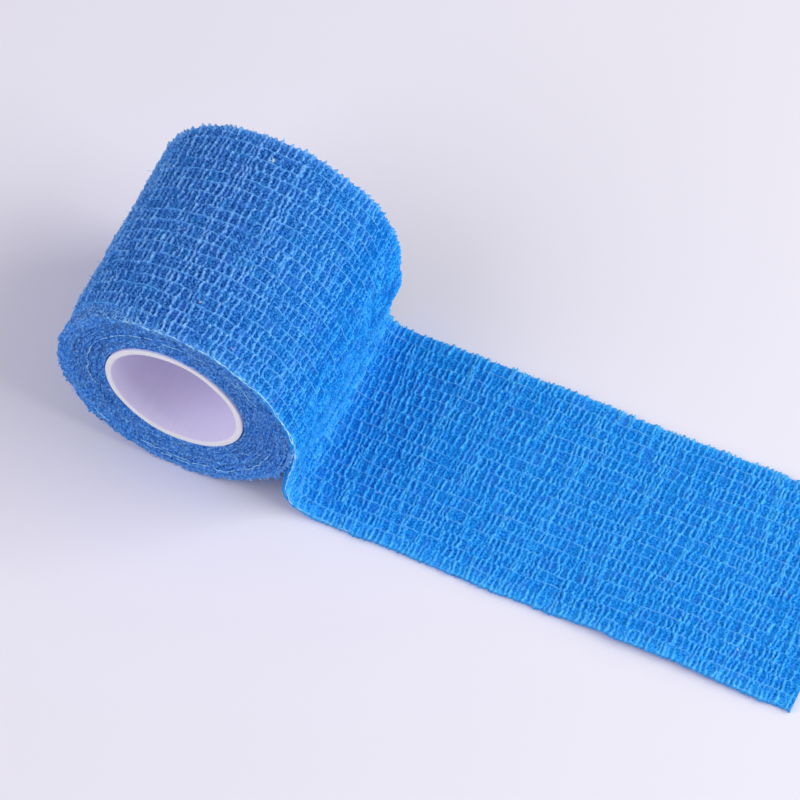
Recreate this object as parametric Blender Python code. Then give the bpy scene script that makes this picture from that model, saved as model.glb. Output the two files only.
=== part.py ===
"""A roll of cohesive bandage on its plastic core, with the loose end drawn out over the table.

The bandage is one long strip of crinkled elastic cloth. It is wound on a plain tube, and the roll
lies on its curved side. The loose end leaves the roll beside its axis, drops to the table, turns
there and lies flat up to a straight cut.

Frame: metres, +Z up. The origin is on the table, under the roll's axis at mid-width. +X runs
along the loose end, and +Y along the roll's axis, from the near face to the far face.
"""

import math
from collections import namedtuple

import bmesh
import bpy
from mathutils import Vector

MM = 0.001

# The bandage and its roll
BANDAGE_WIDTH = 50.0 * MM
STRIP_THICKNESS = 1.1 * MM
ROLL_RADIUS = 27.3 * MM
LEAVE_ANGLE = math.radians(-6.0)
FLAT_SPOT_DEPTH = 0.25 * MM

# The core tube
CORE_OUTER_RADIUS = 15.7 * MM
CORE_WALL = 1.15 * MM
CORE_WIDTH = 50.0 * MM
RIM_ROUNDING = 0.3 * MM
CORE_CLEARANCE = 0.3 * MM

# How even the winding is: a shallow groove runs between the bands of turns on the end faces, the
# turns on one side have slipped a little towards the near face, and the curved side is slightly
# hollow and out of round.
GROOVE_DEPTH = 0.5 * MM
NEAR_SLIP = 0.35 * MM
NEAR_SLIP_ANGLE = math.radians(215.0)
SIDE_HOLLOW = 0.2 * MM
ROUNDNESS_ERROR = 0.15 * MM

# Bands of turns, from the outside in. The outermost is the last turn alone, whose end is loose.
# near and far say how far a band stands out past the nominal width.
Band = namedtuple("Band", "thickness near far")
BANDS = (
    Band(thickness=STRIP_THICKNESS, near=0.0 * MM, far=0.3 * MM),
    Band(thickness=1.6 * MM, near=0.5 * MM, far=0.4 * MM),
    Band(thickness=1.7 * MM, near=0.5 * MM, far=0.0 * MM),
    Band(thickness=1.7 * MM, near=-0.1 * MM, far=-0.3 * MM),
    Band(thickness=1.7 * MM, near=-0.4 * MM, far=-0.5 * MM),
    Band(thickness=1.7 * MM, near=-0.5 * MM, far=-0.3 * MM),
    Band(thickness=1.8 * MM, near=-0.4 * MM, far=-0.4 * MM),
)
TURN_COUNT = len(BANDS)

# Rows of the roll's curved side, as shares of half the width.
SIDE_ROWS = (-0.95, -0.5, 0.0, 0.5, 0.95)

# The middle of the loose end's thickness at its near and its far edge, from just below the place
# where it leaves the roll to the cut. The near edge clings to the roll longer than the far edge
# does, turns out more gently, and rises a little from the table further on.
LooseRow = namedtuple("LooseRow", "near_x near_y near_z far_x far_y far_z")
LOOSE_ROWS = (
    LooseRow(near_x=26.1, near_y=-25.0, near_z=19.5, far_x=26.7, far_y=25.2, far_z=19.5),
    LooseRow(near_x=25.1, near_y=-25.1, near_z=14.0, far_x=26.2, far_y=25.1, far_z=14.0),
    LooseRow(near_x=24.4, near_y=-25.2, near_z=9.0, far_x=25.1, far_y=25.0, far_z=9.0),
    LooseRow(near_x=24.9, near_y=-25.2, near_z=5.0, far_x=24.6, far_y=24.9, far_z=5.0),
    LooseRow(near_x=27.3, near_y=-25.2, near_z=2.2, far_x=25.7, far_y=24.9, far_z=2.1),
    LooseRow(near_x=31.8, near_y=-25.2, near_z=0.8, far_x=29.0, far_y=24.9, far_z=0.8),
    LooseRow(near_x=38.0, near_y=-25.2, near_z=0.55, far_x=35.0, far_y=24.9, far_z=0.55),
    LooseRow(near_x=50.0, near_y=-25.1, near_z=0.55, far_x=49.0, far_y=25.0, far_z=0.75),
    LooseRow(near_x=66.0, near_y=-25.1, near_z=0.55, far_x=66.0, far_y=25.2, far_z=0.95),
    LooseRow(near_x=84.0, near_y=-25.0, near_z=0.65, far_x=84.0, far_y=25.3, far_z=0.6),
    LooseRow(near_x=96.0, near_y=-24.8, near_z=1.4, far_x=96.0, far_y=25.4, far_z=0.55),
    LooseRow(near_x=110.0, near_y=-24.8, near_z=1.5, far_x=110.0, far_y=25.5, far_z=0.55),
    LooseRow(near_x=124.0, near_y=-24.9, near_z=0.95, far_x=124.0, far_y=25.6, far_z=0.6),
    LooseRow(near_x=138.1, near_y=-25.0, near_z=0.55, far_x=138.1, far_y=25.6, far_z=0.55),
)
STATIONS_PER_ROW = 3

# How finely the round shapes are stepped, and what counts as the same point
ROLL_STEPS = 96
CORE_STEPS = 72
RIM_SEGMENTS = 2
WELD_DISTANCE = 0.001 * MM
SHARP_ANGLE = math.radians(35.0)

# Finishes: linear colours and roughness
BANDAGE_BLUE = (0.004, 0.15, 0.68, 1.0)
CLOTH_ROUGHNESS = 0.85
CORE_WHITE = (0.80, 0.79, 0.84, 1.0)
PLASTIC_ROUGHNESS = 0.45


def running_total(start, steps):
    """The start value and what is left of it after each step is taken away."""
    totals = [start]
    for step in steps:
        totals.append(totals[-1] - step)
    return totals


# Radius at each whole turn counted in from the loose end; the last one is the bandage's bore.
TURN_RADII = running_total(ROLL_RADIUS, [band.thickness for band in BANDS])
BORE_RADIUS = CORE_OUTER_RADIUS + CORE_CLEARANCE

# The roll's lowest point lies this many turns after the loose end leaves it.
LOWEST_TURN = (1.5 * math.pi - LEAVE_ANGLE) / (2.0 * math.pi)
AXIS_HEIGHT = ROLL_RADIUS - LOWEST_TURN * STRIP_THICKNESS - FLAT_SPOT_DEPTH


def read_between(values, position):
    """A list read at a position between its places; both ends are held."""
    position = min(max(position, 0.0), len(values) - 1.0)
    place = min(int(position), len(values) - 2)
    share = position - place
    return values[place] * (1.0 - share) + values[place + 1] * share


def rest_on_table(point):
    """Cloth that would reach below the table lies flat on it."""
    return Vector((point.x, point.y, max(point.z, 0.0)))


def wound_point(sample, across, angle):
    """A point of the wound form.

    sample counts turns in from the outside at the place where the loose end leaves, across runs
    from -1 at the near face to 1 at the far face, and angle is how far round the point lies.
    """
    turn = sample + angle / (2.0 * math.pi)
    radius = max(read_between(TURN_RADII, turn), BORE_RADIUS)
    outer_share = max(0.0, 1.0 - turn / 2.0)
    radius += outer_share * ROUNDNESS_ERROR * math.sin(3.0 * angle)
    radius -= outer_share * SIDE_HOLLOW * (1.0 - across * across)
    y = across * BANDAGE_WIDTH / 2.0
    if abs(across) == 1.0:
        free = min(max(TURN_COUNT - turn, 0.0), 1.0)
        groove = free * GROOVE_DEPTH * math.cos(math.pi * sample) ** 2
        if across < 0.0:
            lean = 0.5 + 0.5 * math.cos(angle + LEAVE_ANGLE - NEAR_SLIP_ANGLE)
            stand_out = read_between([band.near for band in BANDS], turn - 0.5)
            y -= stand_out + free * NEAR_SLIP * lean - groove
        else:
            y += read_between([band.far for band in BANDS], turn - 0.5) - groove
    direction = Vector((math.cos(angle + LEAVE_ANGLE), 0.0, math.sin(angle + LEAVE_ANGLE)))
    return rest_on_table(Vector((0.0, y, AXIS_HEIGHT)) + radius * direction)


def section_samples():
    """The wound form's closed section: near face inwards, bore, far face outwards, curved side."""
    face = [half_turn / 2.0 for half_turn in range(2 * TURN_COUNT + 1)]
    samples = [(sample, -1.0) for sample in face]
    samples += [(sample, 1.0) for sample in reversed(face)]
    samples += [(0.0, across) for across in reversed(SIDE_ROWS)]
    return samples


def curve_through(points, per_span):
    """A Catmull-Rom curve through the points, the first point left out."""
    padded = [2.0 * points[0] - points[1]] + points + [2.0 * points[-1] - points[-2]]
    curve = []
    for before, start, end, after in zip(padded, padded[1:], padded[2:], padded[3:]):
        for step in range(1, per_span + 1):
            t = step / per_span
            curve.append(
                0.5
                * (
                    2.0 * start
                    + (end - before) * t
                    + (2.0 * before - 5.0 * start + 4.0 * end - after) * t * t
                    + (3.0 * start - before - 3.0 * end + after) * t * t * t
                )
            )
    return curve


def loose_edges():
    """The near and the far edge of the loose end, as two curves that start at the roll."""
    near = [wound_point(0.5, -1.0, 0.0)]
    far = [wound_point(0.5, 1.0, 0.0)]
    for row in LOOSE_ROWS:
        near.append(MM * Vector((row.near_x, row.near_y, row.near_z)))
        far.append(MM * Vector((row.far_x, row.far_y, row.far_z)))
    return curve_through(near, STATIONS_PER_ROW), curve_through(far, STATIONS_PER_ROW)


def extrude_section(bm, edges):
    """Extrude edges in place; the new vertices and the new far edges come back."""
    made = bmesh.ops.extrude_edge_only(bm, edges=edges)["geom"]
    vertices = [item for item in made if isinstance(item, bmesh.types.BMVert)]
    fresh = set(vertices)
    ends = [item for item in made if isinstance(item, bmesh.types.BMEdge) and set(item.verts) <= fresh]
    return vertices, ends


def wind_roll(bm, sample_of, across_of):
    """Sweep the section once round. Its radius follows the spiral, so the seam welds a turn in."""
    section = []
    for sample, across in section_samples():
        vertex = bm.verts.new(wound_point(sample, across, 0.0))
        vertex[sample_of] = sample
        vertex[across_of] = across
        section.append(vertex)
    edges = [bm.edges.new(pair) for pair in zip(section, section[1:] + section[:1])]
    for step in range(1, ROLL_STEPS + 1):
        angle = 2.0 * math.pi * step / ROLL_STEPS
        vertices, edges = extrude_section(bm, edges)
        for vertex in vertices:
            vertex.co = wound_point(vertex[sample_of], vertex[across_of], angle)
    bmesh.ops.remove_doubles(bm, verts=bm.verts[:], dist=WELD_DISTANCE)
    bmesh.ops.dissolve_degenerate(bm, edges=bm.edges[:], dist=WELD_DISTANCE)


def draw_out_loose_end(bm, sample_of, across_of):
    """Extrude the open step that the spiral leaves along the loose end's route, then close it."""
    near_root = wound_point(0.5, -1.0, 0.0)
    far_root = wound_point(0.5, 1.0, 0.0)
    outward = Vector((math.cos(LEAVE_ANGLE), 0.0, math.sin(LEAVE_ANGLE)))
    edges = [edge for edge in bm.edges if edge.is_boundary]
    for vertex in {vertex for edge in edges for vertex in edge.verts}:
        lift = (vertex.co - near_root).dot(outward)
        vertex[sample_of] = min(max(lift / STRIP_THICKNESS, -0.5), 0.5)
        vertex[across_of] = (vertex.co.y - near_root.y) / (far_root.y - near_root.y)
    near_curve, far_curve = loose_edges()
    middles = [near_root.lerp(far_root, 0.5)]
    middles += [near.lerp(far, 0.5) for near, far in zip(near_curve, far_curve)]
    for station, (near, far) in enumerate(zip(near_curve, far_curve), start=1):
        ahead = middles[min(station + 1, len(middles) - 1)]
        outside = (ahead - middles[station - 1]).cross(far - near).normalized()
        vertices, edges = extrude_section(bm, edges)
        for vertex in vertices:
            middle = near.lerp(far, vertex[across_of])
            vertex.co = rest_on_table(middle + vertex[sample_of] * STRIP_THICKNESS * outside)
    bmesh.ops.contextual_create(bm, geom=edges)


def finish_mesh(bm, name, material):
    """Turn a bmesh into a smooth-shaded object with outward faces."""
    bmesh.ops.recalc_face_normals(bm, faces=bm.faces[:])
    mesh = bpy.data.meshes.new(name)
    bm.to_mesh(mesh)
    bm.free()
    mesh.shade_smooth()
    mesh.set_sharp_from_angle(angle=SHARP_ANGLE)
    mesh.materials.append(material)
    solid = bpy.data.objects.new(name, mesh)
    bpy.context.scene.collection.objects.link(solid)
    return solid


def make_bandage(material):
    """The strip of bandage: the wound form and its loose end, in one piece."""
    bm = bmesh.new()
    sample_of = bm.verts.layers.float.new("sample")
    across_of = bm.verts.layers.float.new("across")
    wind_roll(bm, sample_of, across_of)
    draw_out_loose_end(bm, sample_of, across_of)
    return finish_mesh(bm, "bandage_strip", material)


def make_core(material):
    """The core: a plain tube turned from its wall's section, with rounded rims."""
    bm = bmesh.new()
    inner = CORE_OUTER_RADIUS - CORE_WALL
    half = CORE_WIDTH / 2.0
    corners = ((inner, -half), (CORE_OUTER_RADIUS, -half), (CORE_OUTER_RADIUS, half), (inner, half))
    section = bm.faces.new([bm.verts.new((radius, y, 0.0)) for radius, y in corners])
    bmesh.ops.bevel(
        bm,
        geom=section.verts[:],
        offset=RIM_ROUNDING,
        offset_type="OFFSET",
        segments=RIM_SEGMENTS,
        profile=0.5,
        affect="VERTICES",
        material=-1,
    )
    bmesh.ops.delete(bm, geom=bm.faces[:], context="FACES_ONLY")
    bmesh.ops.spin(
        bm,
        geom=bm.edges[:],
        cent=(0.0, 0.0, 0.0),
        axis=(0.0, 1.0, 0.0),
        angle=2.0 * math.pi,
        steps=CORE_STEPS,
        use_merge=True,
    )
    bmesh.ops.remove_doubles(bm, verts=bm.verts[:], dist=WELD_DISTANCE)
    core = finish_mesh(bm, "core_tube", material)
    core.location = (0.0, 0.0, AXIS_HEIGHT)
    return core


def make_material(name, colour, roughness):
    """A plain Principled material."""
    material = bpy.data.materials.new(name)
    material.use_nodes = True
    shader = material.node_tree.nodes["Principled BSDF"]
    shader.inputs["Base Color"].default_value = colour
    shader.inputs["Roughness"].default_value = roughness
    shader.inputs["Metallic"].default_value = 0.0
    material.diffuse_color = colour
    return material


def main():
    for leftover in list(bpy.data.objects):
        bpy.data.objects.remove(leftover, do_unlink=True)
    make_bandage(make_material("crinkled_cohesive_cloth", BANDAGE_BLUE, CLOTH_ROUGHNESS))
    make_core(make_material("white_moulded_plastic", CORE_WHITE, PLASTIC_ROUGHNESS))


main()
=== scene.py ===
# %% [markdown]
# A roll of cohesive bandage
#
# The object is a strip of crinkled elastic cloth, wound on a plain plastic core, with its loose end
# drawn out over the table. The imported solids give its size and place. This notebook dresses them:
# it models the crinkled cloth, the wound edges, the elastic threads, the loose fibres and the core
# as meshes, and gives each one a finish. Lengths are in millimetres until a mesh is placed.

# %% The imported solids
import math
from collections import namedtuple

import bmesh
import bpy
import numpy as np
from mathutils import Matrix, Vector


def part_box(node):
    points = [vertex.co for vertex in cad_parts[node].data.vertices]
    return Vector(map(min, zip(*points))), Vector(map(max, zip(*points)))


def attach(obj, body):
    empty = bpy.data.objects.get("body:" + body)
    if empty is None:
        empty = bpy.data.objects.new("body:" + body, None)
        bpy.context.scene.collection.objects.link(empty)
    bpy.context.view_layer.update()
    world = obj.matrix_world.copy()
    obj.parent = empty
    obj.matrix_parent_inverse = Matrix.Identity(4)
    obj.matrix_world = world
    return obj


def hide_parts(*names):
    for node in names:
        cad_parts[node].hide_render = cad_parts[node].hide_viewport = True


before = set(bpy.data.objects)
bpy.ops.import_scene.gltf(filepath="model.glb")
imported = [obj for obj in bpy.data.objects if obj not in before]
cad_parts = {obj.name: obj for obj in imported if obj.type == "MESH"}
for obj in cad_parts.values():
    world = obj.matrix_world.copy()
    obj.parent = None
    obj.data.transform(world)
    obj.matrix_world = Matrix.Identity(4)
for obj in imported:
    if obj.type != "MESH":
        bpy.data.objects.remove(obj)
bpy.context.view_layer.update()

MM = 0.001


def in_mm(place):
    """A place in metres as rounded millimetres, for printing."""
    return tuple(round(value / MM, 1) for value in place)


# %% [markdown]
# The camera
#
# A long lens from well above the table, as a product photographer would use. Its place was worked
# out from the roll's two end circles and the edges of the loose end, so the outlines of the render
# can be laid over those of the photograph.


# %% The camera
def add_object(name, data):
    """A new object in the scene."""
    thing = bpy.data.objects.new(name, data)
    bpy.context.scene.collection.objects.link(thing)
    return thing


def aim(thing, target, azimuth, elevation, distance):
    """Put a camera or a lamp at a distance from a target, facing it. The angles are in degrees."""
    azimuth = math.radians(azimuth)
    elevation = math.radians(elevation)
    level = math.cos(elevation)
    towards = Vector((math.sin(azimuth) * level, -math.cos(azimuth) * level, math.sin(elevation)))
    thing.location = target + distance * towards
    thing.rotation_euler = (thing.location - target).to_track_quat("Z", "Y").to_euler()


camera_data = bpy.data.cameras.new("product_camera")
camera_data.lens = 196.31
camera_data.sensor_width = 36.0
camera = add_object("product_camera", camera_data)
camera_target = Vector((35.118, 8.703, 0.0)) * MM
aim(camera, camera_target, azimuth=24.985, elevation=59.129, distance=923.76 * MM)
bpy.context.scene.camera = camera
print("camera at", in_mm(camera.location), "mm")

# %% [markdown]
# Colours and nodes
#
# Colours are picked as sRGB hex values, the way a paint shop or a web page names them, and turned to
# the linear values that shaders need. One small function adds any node, with its settings and links,
# so each material reads as a list of what it is made of.


# %% Colours and nodes
def hex_colour(text):
    """A linear RGBA colour from an sRGB hex value such as 2488E6."""
    shares = [int(text[place:place + 2], 16) / 255.0 for place in (0, 2, 4)]
    linear = [share / 12.92 if share <= 0.04045 else ((share + 0.055) / 1.055) ** 2.4 for share in shares]
    return (*linear, 1.0)


def add_node(tree, kind, values, out=0):
    """Add a node and give back one of its outputs. Outputs among the values are linked, the rest is set."""
    node = tree.nodes.new("ShaderNode" + kind)
    for key, value in values.items():
        if isinstance(value, bpy.types.NodeSocket):
            tree.links.new(value, node.inputs[key])
        elif str(key) in node.bl_rna.properties:
            setattr(node, key, value)
        else:
            node.inputs[key].default_value = value
    return node.outputs[out] if node.outputs else None


def new_material(name):
    """An empty node material, and its tree."""
    material = bpy.data.materials.new(name)
    material.use_nodes = True
    material.node_tree.nodes.clear()
    return material, material.node_tree


MIX_A = 6
MIX_B = 7
MIX_RESULT = 2
print("cloth blue in linear values:", tuple(round(c, 3) for c in hex_colour("2488E6")))

# %% [markdown]
# The table and the light
#
# The table is a plain, pale, matt sheet. A big, low soft box stands beyond the loose end, on the
# right, and throws the wide, soft shadow on the left. A bigger one at the near left lights the near
# face and reaches into the core. A pale sky fills the rest. Their strengths were fitted to the
# photograph's table tones, which show how the light falls on a plain white surface.

# %% The table
TABLE_WHITE = "EBE9F4"
TABLE_SIZE = 6.0
TABLE_DROP = 0.05 * MM


def mesh_from(bm, name):
    """Turn a finished bmesh into a mesh."""
    mesh = bpy.data.meshes.new(name)
    bm.to_mesh(mesh)
    bm.free()
    return mesh


table_material, table_tree = new_material("matt_white_table")
table_matt = {"Base Color": hex_colour(TABLE_WHITE), "Roughness": 0.9, "Specular IOR Level": 0.2}
add_node(table_tree, "OutputMaterial", {"Surface": add_node(table_tree, "BsdfPrincipled", table_matt)})

table_bm = bmesh.new()
bmesh.ops.create_grid(table_bm, x_segments=1, y_segments=1, size=TABLE_SIZE / 2.0)
bmesh.ops.translate(table_bm, verts=table_bm.verts[:], vec=(0.0, 0.0, -TABLE_DROP))
table_top = add_object("table_top", mesh_from(table_bm, "table_top"))
table_top.data.materials.append(table_material)
print("table:", TABLE_SIZE, "m square")

# %% The light
SoftBox = namedtuple("SoftBox", "name azimuth elevation distance size power colour")
SOFT_BOXES = (
    SoftBox("key_box", azimuth=105.0, elevation=32.0, distance=0.9, size=0.8, power=7.5, colour="FDFFFD"),
    SoftBox("fill_box", azimuth=-45.0, elevation=40.0, distance=1.2, size=1.0, power=7.0, colour="F0F0FF"),
)
SKY_COLOUR = "FFF8F6"
SKY_STRENGTH = 0.36

for box in SOFT_BOXES:
    lamp = bpy.data.lights.new(box.name, "AREA")
    lamp.shape = "SQUARE"
    lamp.size = box.size
    lamp.energy = box.power
    lamp.color = hex_colour(box.colour)[:3]
    aim(add_object(box.name, lamp), Vector(), box.azimuth, box.elevation, box.distance)

sky = bpy.data.worlds.new("pale_studio")
bpy.context.scene.world = sky
sky.use_nodes = True
sky.node_tree.nodes["Background"].inputs["Color"].default_value = hex_colour(SKY_COLOUR)
sky.node_tree.nodes["Background"].inputs["Strength"].default_value = SKY_STRENGTH
bpy.context.scene.view_settings.view_transform = "Standard"
print("soft boxes:", [box.name for box in SOFT_BOXES])

# %% [markdown]
# The route of the strip
#
# The bandage is one strip, so one pair of numbers finds any point of it: how far along (0 where it
# leaves the roll, more towards the cut) and how far across (-25 at the near edge, 25 at the far
# edge). On the roll its route is a spiral. The loose end's route repeats the rows of the solid. It
# could be drawn as a flat sheet and simulated, but the crinkle has to run on from the roll to the
# table without a break, so the whole strip is mapped along one smooth curve.

# %% Sizes of the roll
STRIP_WIDTH = 50.0
STRIP_THICKNESS = 1.1
ROLL_RADIUS = 27.3
LEAVE_ANGLE = math.radians(-6.0)
WOUND_PITCH = 0.68
WRAP_COUNT = 16
CORE_CLEARANCE = 0.3
HALF_WIDTH = STRIP_WIDTH / 2.0
HALF_THICKNESS = STRIP_THICKNESS / 2.0
FULL_TURN = 2.0 * math.pi

core_low, core_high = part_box("core_tube")
AXIS_HEIGHT = (core_low.z + core_high.z) / 2.0 / MM
CORE_RADIUS = (core_high.z - core_low.z) / 2.0 / MM


def spiral_radius(turn):
    """The wound strip's outer radius, a number of turns in from the loose end."""
    first = np.minimum(turn, 1.0) * STRIP_THICKNESS
    later = np.maximum(turn - 1.0, 0.0) * WOUND_PITCH
    return np.maximum(ROLL_RADIUS - first - later, CORE_RADIUS + CORE_CLEARANCE)


print("axis", round(AXIS_HEIGHT, 2), "mm up;", WRAP_COUNT, "wraps")

# %% [markdown]
# The outermost wrap isn't wound quite true. Its near edge stands out at the top, and at the upper
# left it slips back and shows the edges of the wraps below it. Forms like this are given as curves:
# pairs of a place and a value, read in straight lines between the pairs.

# %% How the outermost wrap's edges run
NEAR = -1
FAR = 1
WRAP_EDGES = {
    NEAR: (
        (0.0, -25.2), (25.0, -25.6), (105.0, -25.7), (122.0, -25.0), (136.0, -24.2),
        (150.0, -23.4), (172.0, -23.9), (205.0, -25.5), (330.0, -25.6), (380.0, -25.4),
    ),
    FAR: (
        (0.0, 25.3), (25.0, 25.4), (105.0, 25.6), (122.0, 25.7), (136.0, 25.7),
        (150.0, 25.8), (172.0, 25.7), (205.0, 25.5), (330.0, 25.3), (380.0, 25.3),
    ),
}
TAPER = 0.3
TAPER_ANGLE = 1.0
TUCKED_ANGLE = 374.0
WOUND_STEP = 1.5


def follow(curve, at):
    """Read a curve of (place, value) pairs at any place."""
    places, values = zip(*curve)
    return np.interp(at, places, values)


def wrap_point(degrees, side):
    """The middle of the strip's thickness at its near or far edge, on the outermost wrap."""
    angle = math.radians(degrees)
    taper = side * TAPER * min(angle, TAPER_ANGLE)
    radius = float(spiral_radius(angle / FULL_TURN)) - HALF_THICKNESS + taper
    x = radius * math.cos(angle + LEAVE_ANGLE)
    z = AXIS_HEIGHT + radius * math.sin(angle + LEAVE_ANGLE)
    return np.array((x, follow(WRAP_EDGES[side], degrees), z))


print("near edge at the top:", wrap_point(96.0, NEAR).round(2), "mm")

# %% The two edges of the loose end
LOOSE_EDGES = {
    NEAR: (
        (26.1, -25.0, 19.5), (25.1, -25.1, 14.0), (24.4, -25.2, 9.0), (24.9, -25.2, 5.0),
        (27.3, -25.2, 2.2), (31.8, -25.2, 0.8), (38.0, -25.2, 0.55), (50.0, -25.1, 0.55),
        (66.0, -25.1, 0.55), (84.0, -25.0, 0.65), (96.0, -24.8, 1.4), (110.0, -24.8, 1.5),
        (124.0, -24.9, 0.95), (138.1, -25.0, 0.55),
    ),
    FAR: (
        (26.7, 25.2, 19.5), (26.2, 25.1, 14.0), (25.1, 25.0, 9.0), (24.6, 24.9, 5.0),
        (25.7, 24.9, 2.1), (29.0, 24.9, 0.8), (35.0, 24.9, 0.55), (49.0, 25.0, 0.75),
        (66.0, 25.2, 0.95), (84.0, 25.3, 0.6), (96.0, 25.4, 0.55), (110.0, 25.5, 0.55),
        (124.0, 25.6, 0.6), (138.1, 25.6, 0.55),
    ),
}
LEAD_IN = 8.0
POINTS_PER_ROW = 16
WOUND_PLACES = len(np.arange(TUCKED_ANGLE, -0.1, -WOUND_STEP))
WOUND_DEGREES = np.append(TUCKED_ANGLE - WOUND_STEP * np.arange(WOUND_PLACES - 1), 0.0)


def curve_through(points):
    """A Catmull-Rom curve from the second point to the last."""
    padded = [*points, 2.0 * points[-1] - points[-2]]
    curve = []
    for before, start, end, after in zip(padded, padded[1:], padded[2:], padded[3:]):
        for step in range(1, POINTS_PER_ROW + 1):
            t = step / POINTS_PER_ROW
            line = 2.0 * start + (end - before) * t
            square = (2.0 * before - 5.0 * start + 4.0 * end - after) * t * t
            cube = (3.0 * start - before - 3.0 * end + after) * t * t * t
            curve.append(0.5 * (line + square + cube))
    return curve


def edge_route(side):
    """One edge of the strip, from where it is tucked under the loose end to the cut."""
    wound = [wrap_point(degrees, side) for degrees in WOUND_DEGREES]
    loose = [np.array(point) for point in LOOSE_EDGES[side]]
    return np.array(wound + curve_through([wrap_point(LEAD_IN, side), wound[-1], *loose]))


NEAR_ROUTE = edge_route(NEAR)
FAR_ROUTE = edge_route(FAR)
MIDDLE_ROUTE = (NEAR_ROUTE + FAR_ROUTE) / 2.0
OUTWARD = np.cross(np.gradient(MIDDLE_ROUTE, axis=0), FAR_ROUTE - NEAR_ROUTE)
OUTWARD /= np.linalg.norm(OUTWARD, axis=1)[:, None]
ALONG = np.append(0.0, np.cumsum(np.linalg.norm(np.diff(MIDDLE_ROUTE, axis=0), axis=1)))
ALONG -= ALONG[WOUND_PLACES - 1]
TUCKED_END = ALONG[0]
CUT_END = ALONG[-1]
print("strip runs from", round(TUCKED_END, 1), "to", round(CUT_END, 1), "mm; 0 is where it leaves the roll")

# %% Any point of the strip
TABLE_CLEARANCE = 0.02


def read_route(route, along):
    """A route read at any distances along the strip."""
    return np.stack([np.interp(along, ALONG, route[:, axis]) for axis in range(3)], axis=-1)


def strip_points(along, across, lift):
    """Points of the strip in mm; lift is the height over the middle of its thickness."""
    near = read_route(NEAR_ROUTE, along)
    far = read_route(FAR_ROUTE, along)
    outward = read_route(OUTWARD, along)
    outward /= np.linalg.norm(outward, axis=-1)[..., None]
    share = (across / STRIP_WIDTH + 0.5)[..., None]
    points = near + (far - near) * share + outward * lift[..., None]
    points[..., 2] = np.maximum(points[..., 2], TABLE_CLEARANCE)
    return points


print("middle of the cut:", strip_points(np.array([CUT_END]), np.zeros(1), np.zeros(1)).round(1), "mm")

# %% [markdown]
# The crinkle
#
# The cloth is a thin fleece stuck to elastic threads while they are stretched. When they let go, the
# fleece puckers into short cross folds between the threads. So the relief has two parts: straight
# threads every 2.75 mm, and in each lane between two threads a row of narrow folds. They are about
# 1.1 mm apart on the loose end, which has relaxed, and about 1.4 mm apart on the roll, which is still
# stretched. A bump map could draw this, but it wouldn't catch light at the roll's outline, so the
# folds are real relief in the mesh.
#
# Each lane starts from its neighbour's folds. The whole lane is shifted a little, each fold strays on
# its own, and all of them drift, so a fold crosses a lane or two and then breaks off. Between its two
# threads each fold bows one way or the other, so that two of them close round a small oval cell.
#
# All that is irregular comes from one soft noise. A grain says how large its lumps are along the
# strip and across it and how strong it is. Its seed makes it differ from the others, and makes it
# the same at each run.

# %% Smooth noise
NOISE_LATTICE = 256

Grain = namedtuple("Grain", "along across strength seed")


def lattice_lines(distance, size):
    """The two lattice lines beside a place, and its smoothed share of the way between them."""
    spot = np.asarray(distance) / size
    line = np.floor(spot).astype(int)
    past = spot - line
    return line % NOISE_LATTICE, (line + 1) % NOISE_LATTICE, past * past * (3.0 - 2.0 * past)


def soft_noise(along, across, *grains):
    """Smooth noise with lumps of the grains' sizes and strengths; several grains add up."""
    total = 0.0
    for grain in grains:
        lattice = np.random.default_rng(grain.seed).uniform(-1.0, 1.0, (NOISE_LATTICE, NOISE_LATTICE))
        before, after, share = lattice_lines(along, grain.along)
        nearer, further, level = lattice_lines(across, grain.across)
        near = lattice[before, nearer] * (1.0 - share) + lattice[after, nearer] * share
        far = lattice[before, further] * (1.0 - share) + lattice[after, further] * share
        total = total + grain.strength * (near * (1.0 - level) + far * level)
    return total


print("noise at one place:", soft_noise(1.0, 2.0, Grain(3.0, 3.0, 1.0, seed=1)).round(3))

# %% How far apart the folds stand
THREAD_PITCH = 2.75
LANE_COUNT = 18
FIRST_THREAD = -THREAD_PITCH * LANE_COUNT / 2.0
LOOSE_FOLD_PITCH = 1.13
WOUND_FOLD_PITCH = 1.4
STRETCH_LEFT = ((-45.0, 1.0), (-6.0, 0.0))


def stretch_at(along):
    """How much of its winding stretch the cloth keeps: 1 on the roll, 0 on the loose end."""
    return follow(STRETCH_LEFT, along)


def fold_pitch_at(along):
    """The mean distance between two folds."""
    return LOOSE_FOLD_PITCH + (WOUND_FOLD_PITCH - LOOSE_FOLD_PITCH) * stretch_at(along)


print("fold pitch on the roll and on the table:", fold_pitch_at(np.array([-60.0, 60.0])), "mm")

# %% The folds of each lane
FOLD_MARGIN = 8.0
SPACING_SPREAD = 0.17
LANE_SHIFT = 0.23
FOLD_JITTER = 0.1
LOOSE_UNEVENNESS = 0.8
FOLD_DRIFT = Grain(4.5, 1.0, 0.3, seed=28)
DRIFT_PER_LANE = 1.7
NEIGHBOUR_PULL = 0.2
FOLD_LOWERING = 0.6
LOW_FOLD_RARITY = 1.5
FLAT_FOLD_SHARE = 0.03
FLAT_FOLD_HEIGHT = 0.2
FOLD_BOW = 0.17
LARGEST_BOW = 0.3

Lane = namedtuple("Lane", "places heights bows")

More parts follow.
